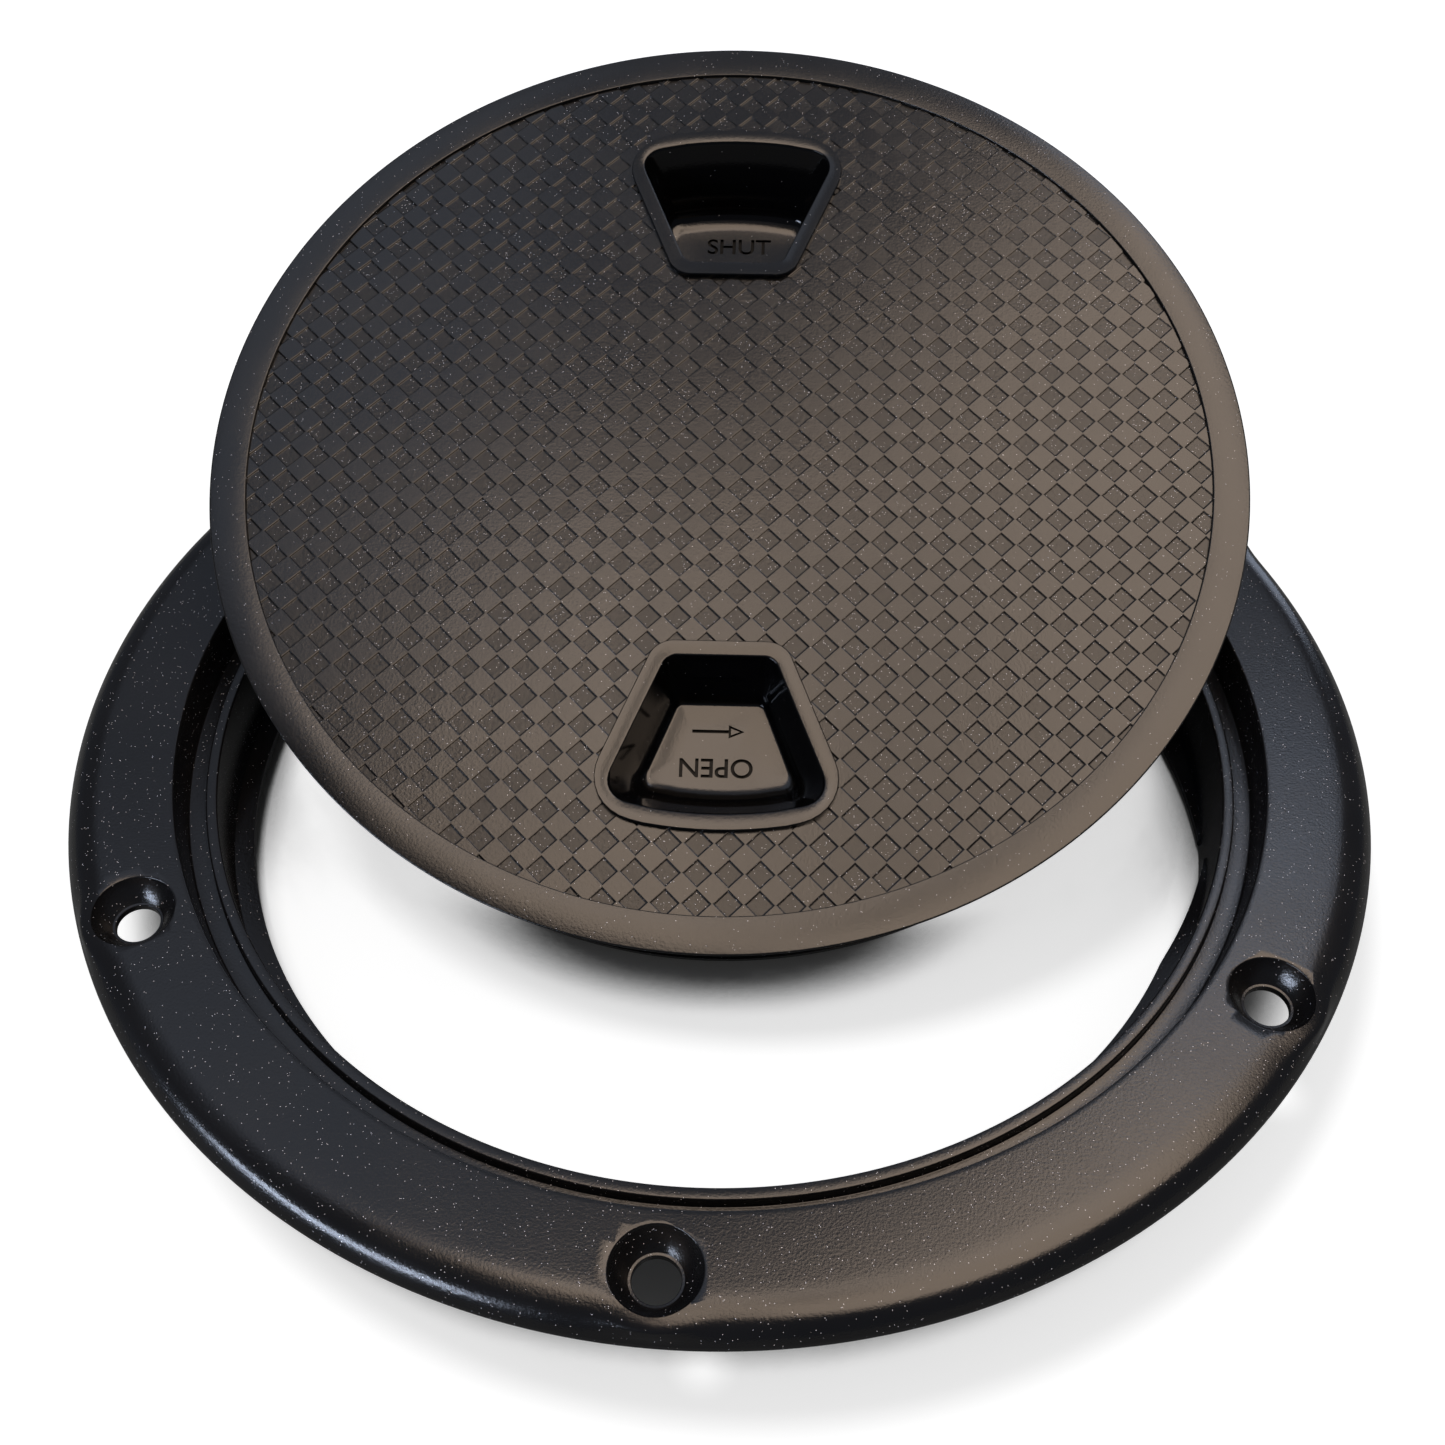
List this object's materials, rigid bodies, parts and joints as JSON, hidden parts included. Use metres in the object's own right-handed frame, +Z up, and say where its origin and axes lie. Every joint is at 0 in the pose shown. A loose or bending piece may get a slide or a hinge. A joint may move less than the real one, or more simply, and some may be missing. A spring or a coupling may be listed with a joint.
{
  "type": "deck hatch",
  "caption": "Round screw-out deck hatch: a flanged, threaded deck ring with countersunk screw holes, a treaded lid with two finger pockets leaning in it, and the lid's O-ring.",
  "frame": {"origin": "middle of the whole object's footprint, at the foot of the ring's collar; the ring's own axis stands 6.2 mm in front of it, at y = -0.0062", "axes": "+Z up, along the ring's axis; +Y backwards, the way the lid leans; +X to the right, seen from the front"},
  "size_m": [0.205, 0.2174, 0.0745],
  "materials": {
    "ring_plastic": "moulded black plastic with a fine grain and a soft gloss",
    "lid_plastic": "moulded black plastic, satin tread with smooth diamonds and glossy pockets",
    "seal_rubber": "matt black rubber"
  },
  "bodies": {
    "ring": {"deck_ring": "ring_plastic"},
    "seal": {"lid_o_ring": "seal_rubber"},
    "lid": {"screw_lid": "lid_plastic"}
  },
  "joints": [
    {"name": "lid_lift", "type": "slide", "parent": "ring", "child": "seal", "axis": [0, 0, 1], "range_m": [0, 0.08]},
    {"name": "lid_turn", "type": "hinge", "parent": "seal", "child": "lid", "pos_m": [0.0006, 0.02896, 0.04456], "axis": [-0.014, -0.3265, 0.9451], "continuous": true}
  ]
}
